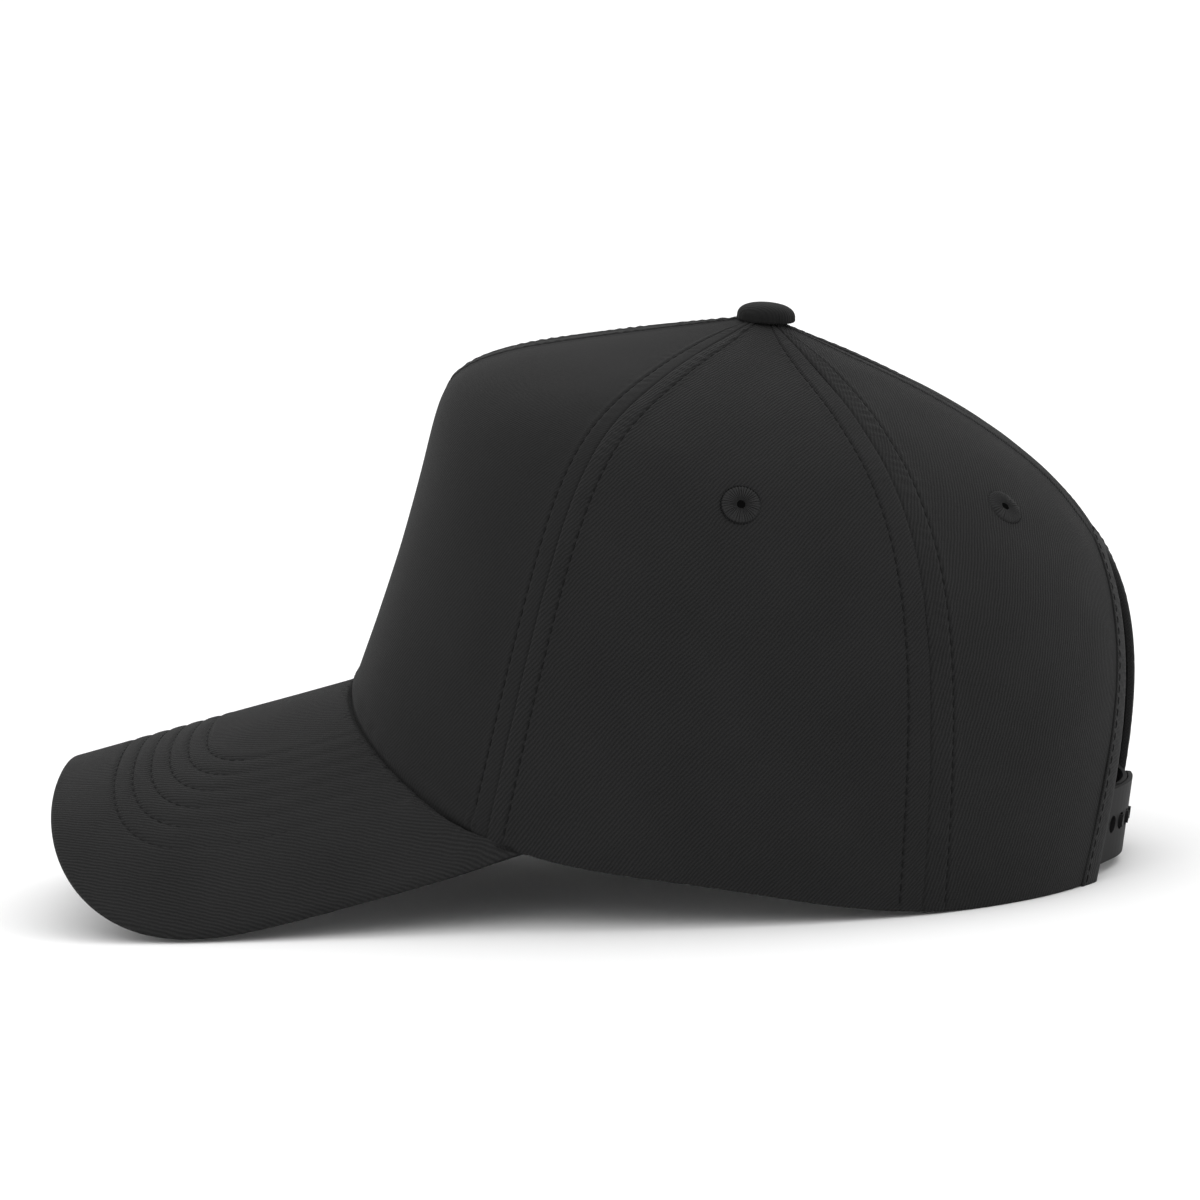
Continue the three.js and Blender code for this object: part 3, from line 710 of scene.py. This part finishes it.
def tape(name, node, seam, start, end, depth=LINING_DEPTH):
    """A tape along a seam's inside, with its own two rows of stitches."""

    def place(u, v):
        t = start + (end - start) * v
        return seam + (2 * u - 1) * tape_half(seam, t) / arc(seam, t), t

    def bump(u, v, phi, t):
        length = v * 180
        edge = np.abs(2 * u - 1)
        return -0.12 * bell(edge - 1, 0.08) + 0.1 * edge**2 * ripple(length, 3.4, 50)

    band(name, place, 15, 150, depth, LINING_THICK, TAPE, "seam_tape", bump, replaces=(node,))
    t = np.linspace(start + 0.01, end - 0.01, 160)
    rows = []
    for sign in (-1, 1):
        phi = seam + sign * (tape_half(seam, t) * 0.8) / arc(seam, t)
        rows.append((layer(phi, t, depth + LINING_THICK), -outward(phi, t)))
    stitches(name + "_stitching", rows)


TAPE_END = 0.955
for side, word in SIDES:
    for seam, which in ((FRONT_SEAM, "front"), (BACK_SEAM, "back")):
        start = float(climb(seam, HEM_GAP)[0, 0])
        tape(f"{word}_{which}_tape_cloth", f"{word}_{which}_seam_tape", side * seam, start, TAPE_END)
tape("dart_tape_cloth", "dart_tape", 0.0, 0.56, TAPE_END, PAD_DEPTH)
arch_top = float(climb(CENTRE_BACK, ARCH_HEIGHT + BINDING_WIDTH + 4)[0, 0])
tape("centre_back_tape_cloth", "centre_back_tape", CENTRE_BACK, arch_top, TAPE_END)


def buckram_place(u, v):
    """The stiffener fills the front panel between its two seam tapes."""
    start = climb(0, HEM_GAP)[0, 0]
    t = start + (TAPE_END - start) * v
    reach = FRONT_SEAM - (tape_half(FRONT_SEAM, t) + 0.3) / arc(FRONT_SEAM, t)
    return (2 * u - 1) * reach, t


band("front_buckram_cloth", buckram_place, 90, 120, LINING_DEPTH, LINING_THICK, BUCKRAM,
     "buckram", replaces=("front_buckram",))

# -------------------- sweatband


def hem_place(low, high, end):
    """A stretch of the hem between two lengths up the profile."""
    lengths = np.linspace(low, high, 2)

    def place(u, v):
        phi = (2 * u[:, 0] - 1) * end
        ends = climb(phi, lengths)
        return np.broadcast_to(phi[:, None], u.shape), ends[:, :1] + (ends[:, 1:] - ends[:, :1]) * v

    return place


SWEATBAND_END = radians(158)
SWEATBAND_ROWS = (0.06, 0.93)


def sweatband_bump(u, v, phi, t):
    """The band is soft: its edges are folded and sewn, and it stands off the crown a little."""
    length = phi * 88
    low, high = SWEATBAND_ROWS
    folds = 0.14 * ripple(length, 5.2, 61) * (bell(v - low, 0.08) + bell(v - high, 0.08))
    edges = -0.2 * bell(v - low, 0.02) - 0.2 * bell(v - high, 0.02)
    loose = 1 + lumps(np.stack([length, v, v], -1), 30, 62)
    return -(folds + edges) - 0.25 * np.sin(pi * v) * loose


band("sweatband_cloth", hem_place(SWEATBAND_HEM, SWEATBAND_TOP, SWEATBAND_END), 420, 40,
     SWEATBAND_DEPTH, SWEATBAND_THICK, SWEATBAND_CLOTH, "sweatband", sweatband_bump,
     replaces=("sweatband",))
sweat_rows = []
for share in SWEATBAND_ROWS:
    phi = np.linspace(-SWEATBAND_END + 0.01, SWEATBAND_END - 0.01, 500)
    ends = climb(phi, [SWEATBAND_HEM, SWEATBAND_TOP])
    t = ends[:, 0] + (ends[:, 1] - ends[:, 0]) * share
    sweat_rows.append((layer(phi, t, SWEATBAND_DEPTH + 0.85), -outward(phi, t)))
stitches("sweatband_stitching", sweat_rows)
pad = band("sweatband_pad", hem_place(4, 26, radians(72)), 160, 20, PAD_DEPTH, PAD_THICK,
           FOAM, "foam", lambda u, v, phi, t: -0.12 * (2 * v - 1) ** 4,
           replaces=("sweatband_foam",))

# -------------------- the back opening's binding


def back_place(x, z):
    """phi and t of the point on the crown's back that has this x and z."""
    x, z = np.broadcast_arrays(np.asarray(x, float), np.asarray(z, float))
    away = np.arcsin(np.clip(x / 92, -0.9, 0.9))
    t = np.clip(z / 190, 0, 0.9)
    step = 1e-4
    for _ in range(12):
        p = crown(CENTRE_BACK - away, t)
        da = (crown(CENTRE_BACK - away - step, t) - p) / step
        dt = (crown(CENTRE_BACK - away, t + step) - p) / step
        ex, ez = x - p[..., 0], z - p[..., 2]
        det = da[..., 0] * dt[..., 2] - dt[..., 0] * da[..., 2]
        away = away + (ex * dt[..., 2] - dt[..., 0] * ez) / det
        t = np.clip(t + (da[..., 0] * ez - ex * da[..., 2]) / det, 0, 0.98)
    return CENTRE_BACK - away, t


def arch_binding():
    """A folded strip round the opening's raw edge. Each section is (out from the edge, height)."""
    section = np.array([
        (7, 0.42), (6.6, 0.62), (5.6, 0.5), (3.4, 0.72), (1.2, 0.8), (0, 0.72),
        (-0.8, 0.3), (-1.05, -0.45), (-0.8, -1.2), (0, -1.55), (1.2, -1.62), (3.4, -1.6),
        (5.6, -1.5), (6.6, -1.6), (7, -1.5), (7, -1.02), (0.3, -1.0), (0.3, 0.06), (7, 0.06),
    ])
    angle = np.linspace(0, pi, 260)
    grow, height = section[:, 0], section[:, 1]
    x, z = arch_outline(grow, angle[:, None])
    z = np.maximum(z, 0.02)
    phi, t = back_place(x, z)
    fold = 5
    length = np.cumsum(np.concatenate([[0], np.hypot(np.diff(x[:, fold]), np.diff(z[:, fold]))]))
    puckers = 0.1 * ripple(length, 3.0, 71)[:, None]
    puckers = puckers * bell(np.maximum(grow, 0) - 2.6, 2.2) * (height > 0.3)
    points = layer(phi, t, -(height + puckers))
    round_section = np.cumsum(np.hypot(*np.diff(section, axis=0, prepend=section[:1]).T))
    uv = np.stack(np.broadcast_arrays(length[:, None], round_section), -1)
    faces = tube_faces(len(angle), len(section))
    add_piece("arch_binding_cloth", points.reshape(-1, 3), faces, BINDING_CLOTH, "binding",
              uv=uv.reshape(-1, 2), replaces=("arch_binding",))
    rows = []
    for depth, sign in ((-0.52, 1), (1.52, -1)):
        x, z = arch_outline(BINDING_ROW, angle)
        phi, t = back_place(x, np.maximum(z, 0.4))
        rows.append((layer(phi, t, depth), sign * outward(phi, t)))
    stitches("arch_binding_stitching", rows)


arch_binding()

# -------------------- visor


def visor_up(x):
    """The direction away from the visor's top."""
    r = VISOR["radius"]
    x = np.clip(x, -r + 1, r - 1)
    lean = x / np.sqrt(r**2 - x**2)
    return unit(np.stack([lean, np.full_like(x, -VISOR["slope"]), np.ones_like(x)], -1))


def visor_edge(u):
    """The visor's outline in plan, u from -1 at the right corner to 1 at the left one."""
    along = np.abs(u)
    back = np.clip((along - ROUND_SHARE) / (1 - ROUND_SHARE), 0, 1)
    a = np.clip(along / ROUND_SHARE, 0, 1) * pi / 2
    r = superellipse(a, VISOR["depth"], VISOR["half_width"], VISOR["squareness"])
    curved = along <= ROUND_SHARE
    side_x = VISOR["half_width"] - VISOR["corner_tuck"] * back**2
    side_y = VISOR["widest_y"] + (VISOR["corner_y"] - VISOR["widest_y"]) * back
    x = np.where(curved, r * np.sin(a), side_x)
    y = np.where(curved, VISOR["widest_y"] - r * np.cos(a), side_y)
    return np.stack([np.sign(u) * x, y], -1)


def visor_thick(u):
    """The visor thins out towards its two back corners."""
    return VISOR["thick"] * (1 - 0.65 * smooth(np.abs(u), 0.86, 1))


def visor_seam(u, above=0.0):
    """The visor's back edge: a line on the front panel, at the visor's own height plus above."""
    phi = u * SEAM_END
    low, high = np.zeros_like(phi), np.full_like(phi, 0.12)
    for _ in range(20):
        t = (low + high) / 2
        p = crown(phi, t)
        under = p[..., 2] < visor_height(p[..., 0], p[..., 1]) + above
        low, high = np.where(under, t, low), np.where(under, high, t)
    return crown(phi, low) + 0.12 * outward(phi, np.maximum(low, 1e-3))


def row_size(d):
    """The depth and half width of the row of stitches that lies d inside the visor's edge."""
    return VISOR["depth"] - d, VISOR["half_width"] + ROW_WIDER - d


def row_inset(x, y):
    """How far inside the visor's front edge a point lies, in the shape that the stitch rows have."""
    low, high = np.zeros_like(x), np.full_like(x, 60.0)
    for _ in range(22):
        d = (low + high) / 2
        deep, wide = row_size(d)
        ahead = np.abs(np.minimum(y - VISOR["widest_y"], 0) / deep)
        inside = ahead**ROW_SQUARENESS + np.abs(x / wide) ** ROW_SQUARENESS < 1
        low, high = np.where(inside, d, low), np.where(inside, high, d)
    return low


def row_fade(y, inset):
    """0 along the front of a row of stitches, and 1 where the row has turned towards the crown."""
    behind = y - VISOR["widest_y"] + VISOR["depth"] - inset
    return smooth(behind, 7, 24)


def visor_relief(x, y):
    """The cloth puffs a little between the rows of stitches, and each row pulls it in."""
    inset = row_inset(x, y)
    fade = row_fade(y, inset)
    raised = 0
    for k in range(ROW_COUNT):
        raised = raised - (0.44 - 0.38 * fade) * bell(inset - ROW_FIRST - k * ROW_PITCH, 0.55)
    last = ROW_FIRST + 24
    among = smooth(inset, ROW_FIRST - 3, ROW_FIRST) * (1 - smooth(inset, last, last + 3))
    wave = np.cos(2 * pi * (inset - ROW_FIRST) / ROW_PITCH)
    return raised + 0.05 * among * (1 - wave)


END_STEPS = ROLL * np.array([0.25, 0.5, 0.72, 0.88, 0.97, 1])


def hem_rise(x, y):
    """How far the visor's seam rises by its back corners, where the crown's edge is above it."""
    phi = np.radians(np.linspace(40, 66, 80))
    hem = crown(phi, 0) + 0.12 * outward(phi, 1e-3)
    away = np.hypot(np.abs(x)[..., None] - hem[:, 0], y[..., None] - hem[:, 1])
    nearest = away.argmin(-1)
    short = np.maximum(hem[nearest, 2] + 1 - visor_height(x, y), 0)
    return short * bell(away.min(-1), 3)


def visor_cloth(name, node, top, material):
    """The upper or the lower cloth. Both roll round the board's edge and meet half-way down."""
    u = np.linspace(-1, 1, 301)
    past = np.concatenate([END_STEPS[::-1], 0 * u, END_STEPS])
    u = np.concatenate([0 * END_STEPS - 1, u, 0 * END_STEPS + 1])
    thick = visor_thick(u)
    seam, edge = visor_seam(u, 0.0 if top else -thick)[:, :2], visor_edge(u)
    thick = thick[:, None]
    middle = thick / 2
    gap = np.linalg.norm(edge - seam, axis=-1)[:, None]
    rim = np.array([1.5, 1.15, 0.8, 0.5, 0.28, 0.12, 0.03, 0]) * np.minimum(gap / (3 * ROLL), 1)
    crease = np.array([0, 0.2, 0.4, 0.65, 0.95, 1.3]) * np.minimum(gap / 10, 1)
    body = np.linspace(1, 0, 146)
    start = rim[:, :1]
    between = start + (gap - 1.5 * crease[:, -1:] - start) * body[:-1]
    inset = np.concatenate([gap - crease, between, rim], 1)
    v = 1 - inset / gap
    plan = seam[:, None] + (edge - seam)[:, None] * v[..., None] + past[:, None, None] * [0, 1]
    if not top:
        plan = plan + (thick * (1 - v))[..., None] * visor_up(plan[..., 0])[..., :2]
    x, y = plan[..., 0], plan[..., 1]
    up = visor_up(x)
    near_rim = np.maximum(np.clip(ROLL - inset, 0, ROLL), past[:, None])
    roll = middle - np.sqrt(np.clip(middle**2 - (near_rim * middle / ROLL) ** 2, 0, None))
    tuck = 1.5 * bell(gap - inset, 0.6) * smooth(gap, 2, 8)
    wrinkles = 0.1 * bell(gap - inset - 1.6, 1.2) * ripple(u * 150, 2.8, 81)[:, None]
    soft = 0.1 * lumps(np.stack([x, y, x * 0], -1), 16, 82)
    sewn = visor_relief(x, y) * smooth(inset, 1.5, 4)
    base = np.stack([x, y, visor_height(x, y) + hem_rise(x, y) * (1 - v)], -1)
    if top:
        depth = roll + tuck - wrinkles - soft - sewn
        inner_depth = np.minimum(depth + 0.5, middle + 0.2)
    else:
        depth = thick - roll - tuck + soft + sewn
        inner_depth = np.maximum(depth - 0.5, middle - 0.2)
    outer = base - up * depth[..., None]
    inner = base - up * inner_depth[..., None]
    bent = VISOR["radius"] * np.arcsin(np.clip(x / VISOR["radius"], -0.99, 0.99))
    uv = np.stack([y, -bent], -1)
    if not top:
        outer, inner, uv = outer[::-1], inner[::-1], uv[::-1]
    shell(name, outer[:, ::-1], inner[:, ::-1], uv[:, ::-1], material, "visor_twill",
          replaces=(node,))


def visor_board():
    """The stiff board between the two cloths, clear of the edges that they roll round."""
    u = np.linspace(-BOARD_END, BOARD_END, 201)
    seam, edge = visor_seam(u)[:, :2], visor_edge(u)
    across = edge - seam
    gap = np.linalg.norm(across, axis=-1)
    reach = np.stack([BOARD_FROM_SEAM / gap, 1 - BOARD_FROM_EDGE / gap], -1)
    v = reach[:, :1] + (reach[:, 1:] - reach[:, :1]) * np.linspace(0, 1, 60)
    plan = seam[:, None] + across[:, None] * v[..., None]
    x, y = plan[..., 0], plan[..., 1]
    base = np.stack([x, y, visor_height(x, y)], -1)
    down = visor_thick(u)[:, None, None] * visor_up(x)
    uv = np.stack([y, -x], -1)
    outer, inner = base - 0.24 * down, base - 0.76 * down
    shell("visor_board_core", outer[:, ::-1], inner[:, ::-1], uv[:, ::-1], BOARD, "board",
          replaces=("visor_board",))


visor_cloth("visor_top_cloth", "visor_top_cover", True, TWILL_VISOR)
visor_cloth("visor_bottom_cloth", "visor_bottom_cover", False, TWILL_UNDER)
visor_board()


def visor_rows():
    """The rows of stitches on the visor's top and underside."""
    seam_line = visor_seam(np.linspace(-1, 1, 400))[:, :2]
    top_rows, under_rows = [], []
    left_seam = seam_line[len(seam_line) // 2:]
    for k in range(ROW_COUNT):
        d = ROW_FIRST + k * ROW_PITCH
        deep, wide = row_size(d)
        a = np.linspace(-1, 1, 500) * pi / 2
        r = superellipse(a, deep, wide, ROW_SQUARENESS)
        x, y = r * np.sin(a), VISOR["widest_y"] - r * np.cos(a)
        back_y = np.interp(wide, left_seam[:, 0], left_seam[:, 1])
        tail = np.linspace(VISOR["widest_y"], back_y - 0.4, 60)[1:]
        if back_y > VISOR["widest_y"] + 2:
            x = np.concatenate([np.full(len(tail), -wide), x, np.full(len(tail), wide)])
            y = np.concatenate([tail[::-1], y, tail])
        else:
            keep = y < np.interp(np.abs(x), left_seam[:, 0], left_seam[:, 1]) - 0.4
            x, y = x[keep], y[keep]
        up = visor_up(x)
        base = np.stack([x, y, visor_height(x, y)], -1)
        sunk = 0.4 - 0.1 * row_fade(y, d)[:, None]
        top_rows.append((base - sunk * up, up))
        under_rows.append((base - (VISOR["thick"] - sunk) * up, -up))
    stitches("visor_top_stitching", top_rows, VISOR_THREAD)
    stitches("visor_bottom_stitching", under_rows, VISOR_THREAD)


visor_rows()

# -------------------- eyelets


def eyelet_shade(name, centre, across, rising, normal):
    """A dark disc in the hole: painted shade, for the shadowed inside of the cap that is seen through
    it.
    """
    turn = np.linspace(0, 2 * pi, 32, endpoint=False)[:, None]
    ring = centre + HOLE_RADIUS * (across * np.cos(turn) + rising * np.sin(turn))
    points = np.concatenate([ring - 0.9 * normal, ring + 0.42 * normal])
    add_piece(name, points, tube_faces(2, len(turn)), HOLE_SHADE, "thread")


def eyelet(name, node, phi, t):
    """A sewn eyelet: a ring of threads that run from the hole to the rim."""
    centre, normal = crown(phi, t), outward(phi, t)
    across = unit(crown(phi + 0.01, t) - crown(phi - 0.01, t))
    rising = np.cross(normal, across)
    turn = np.linspace(0, 2 * pi, 264, endpoint=False)
    radii, heights = np.array([
        (0.85, -1.6), (0.9, -0.6), (0.98, 0.1), (1.1, 0.4), (1.35, 0.56), (1.8, 0.66), (2.4, 0.72),
        (3, 0.74), (3.7, 0.72), (4.2, 0.64), (4.55, 0.5), (4.8, 0.28), (4.9, -0.05), (4.92, -0.5),
    ]).T
    back_radii, back_heights = np.array([(5.0, -1.2), (4.4, -1.75), (0.75, -1.8)]).T
    wobble = 0.25 * lumps(np.stack([10 * np.cos(turn), 10 * np.sin(turn), turn * 0], -1), 4, 91)
    ridge = np.abs(np.cos(EYELET_THREADS * (turn + wobble * 0.2) / 2)) ** 0.7
    seat = -(radii**2) / 190
    lift = heights + seat + 0.05
    size = radii * (1 + 0.012 * (ridge[:, None] - 0.5)) * (1 + 0.012 * wobble[:, None])
    up = lift + 0.34 * (ridge[:, None] - 0.8) * smooth(radii, 0.8, 1.5)

    def rings(r, height):
        return (
            centre
            + across * (r * np.cos(turn)[:, None])[..., None]
            + rising * (r * np.sin(turn)[:, None])[..., None]
            + normal * height[..., None]
        )

    grid = np.concatenate([rings(size, up), rings(back_radii, back_heights)], 1)
    n, m = grid.shape[:2]
    first = np.arange(n) * m
    next_first = np.roll(first, -1)
    close = np.stack([first, next_first, next_first + m - 1, first + m - 1], -1)
    faces = np.concatenate([quads(n, m, wrap=True, flip=True), close])
    add_piece(name, grid.reshape(-1, 3), faces, SATIN_THREAD, "thread", replaces=(node,), sharp=70)
    loop = np.linspace(0, 2 * pi, 180)[:, None]
    rim = centre + 5.1 * (across * np.cos(loop) + rising * np.sin(loop)) - 0.12 * normal
    stitches(name + "_edge", [(rim, np.broadcast_to(normal, rim.shape))],
             length=0.55, gap=0.25, radius=0.17, lift=0.12)
    eyelet_shade(name + "_shade", centre, across, rising, normal)


for side, word in SIDES:
    eyelet(f"{word}_side_eyelet_ring", f"{word}_side_eyelet", side * radians(87), 0.516)
    eyelet(f"{word}_back_eyelet_ring", f"{word}_back_eyelet", side * radians(152), 0.588)

# -------------------- button


def button():
    """A domed button covered in the same cloth, drawn in round its edge."""
    steps = np.linspace(0.02, 1, 26) * pi / 2
    dome_r = BUTTON["radius"] * np.sin(steps) ** BUTTON["roundness"]
    dome_z = BUTTON["height"] * np.cos(steps) ** BUTTON["roundness"]
    under_r, under_z = np.array([(7.45, -0.35), (7.3, -0.75), (6.9, -0.95), (6.2, -0.9)]).T
    r = np.concatenate([dome_r, under_r])
    z = np.concatenate([dome_z, under_z])
    turn = np.linspace(0, 2 * pi, 160, endpoint=False)
    gather = 0.1 * smooth(r, 5.6, BUTTON["radius"]) * ripple(turn * 40, 3.4, 95)[:, None]
    rr = r + gather
    x, y = rr * np.cos(turn)[:, None], rr * np.sin(turn)[:, None]
    zz = np.broadcast_to(z, x.shape) + 0.06 * lumps(np.stack([x, y, x * 0], -1), 4, 96)
    c, s = cos(BUTTON["tilt"]), sin(BUTTON["tilt"])
    points = np.stack([
        x,
        y * c + zz * s + APEX["y"],
        -y * s + zz * c + (APEX["z"] + BUTTON["lift"]),
    ], -1)
    n, m = points.shape[:2]
    faces = quads(n, m, wrap=True, flip=True).tolist()
    faces.append((np.arange(n) * m).tolist())
    faces.append((np.arange(n)[::-1] * m + m - 1).tolist())
    add_piece("button_cloth", points.reshape(-1, 3), faces, TWILL_BUTTON, "crown_twill",
              uv=np.stack([x, y], -1).reshape(-1, 2), replaces=("button_cover",), sharp=60)


button()

# -------------------- CAD nodes that stay

for material, nodes in (
    (STEEL, ("button_core", "button_washer")),
    (PLASTIC, ("hole_strap", "peg_strap", "hole_strap_tab", "peg_strap_tab")),
):
    for node in nodes:
        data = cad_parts[node].data
        data.materials.clear()
        data.materials.append(material)

# -------------------- camera, floor and lights

TILT = radians(3.32)
DROP = 9.7
AZIMUTH = radians(96.5)
ELEVATION = radians(8)
AIM = Vector((0, -36, 80))
DISTANCE = 2400
FRAME_WIDTH = 306.12
FLOOR_HALF_WIDTH = 30


def stand_up(v):
    """Turns a direction from the camera's level into the frame, where the cap rests on the floor."""
    x, y, z = v
    return Vector((x, y * cos(TILT) + z * sin(TILT), z * cos(TILT) - y * sin(TILT)))


def add_camera():
    """A camera at the photograph's viewing angle. Its lengths are in mm."""
    back = Vector((
        sin(AZIMUTH) * cos(ELEVATION),
        -cos(AZIMUTH) * cos(ELEVATION),
        sin(ELEVATION),
    ))
    place = stand_up(AIM + DISTANCE * back) + Vector((0, SHIFT, -DROP))
    back = stand_up(back)
    right = stand_up((0, 0, 1)).cross(back).normalized()
    up = back.cross(right)
    data = bpy.data.cameras.new("camera")
    data.angle = 2 * atan(FRAME_WIDTH / 2 / DISTANCE)
    data.clip_end = 100
    camera = bpy.data.objects.new("camera", data)
    turned = Matrix((right, up, back)).transposed().to_4x4()
    camera.matrix_world = Matrix.Translation(place / 1000) @ turned
    bpy.context.scene.collection.objects.link(camera)
    bpy.context.scene.camera = camera


def add_light(name, place, size, power):
    """A soft square light at a place, in metres, that points at the cap."""
    data = bpy.data.lights.new(name, "AREA")
    data.size = size
    data.energy = power
    light = bpy.data.objects.new(name, data)
    aim = Vector((0, 0, 0.07)) - Vector(place)
    turned = aim.to_track_quat("-Z", "Y").to_matrix().to_4x4()
    light.matrix_world = Matrix.Translation(place) @ turned
    bpy.context.scene.collection.objects.link(light)


def add_floor():
    half = FLOOR_HALF_WIDTH
    corners = [(-half, -half, 0), (half, -half, 0), (half, half, 0), (-half, half, 0)]
    mesh = bpy.data.meshes.new("floor")
    mesh.from_pydata(corners, [], [(0, 1, 2, 3)])
    n = Nodes("pale floor", roughness=0.9, specular=0.1)
    n.shader.inputs["Base Color"].default_value = (0.86, 0.86, 0.86, 1)
    mesh.materials.append(n.material)
    floor = bpy.data.objects.new("floor", mesh)
    bpy.context.scene.collection.objects.link(floor)


add_camera()
add_floor()
add_light("key", (2.3, -0.3, 1.9), 1.6, 13)
add_light("top", (-0.3, 0.5, 2.4), 1.8, 10)
add_light("fill", (1.6, 1.9, 0.9), 1.6, 5)
add_light("back", (-2.2, -0.6, 1.5), 1.6, 6)
bpy.context.scene.view_settings.view_transform = "Standard"
world = bpy.data.worlds.new("world")
world.use_nodes = True
world.node_tree.nodes["Background"].inputs["Color"].default_value = (1, 1, 1, 1)
world.node_tree.nodes["Background"].inputs["Strength"].default_value = 1.16
bpy.context.scene.world = world
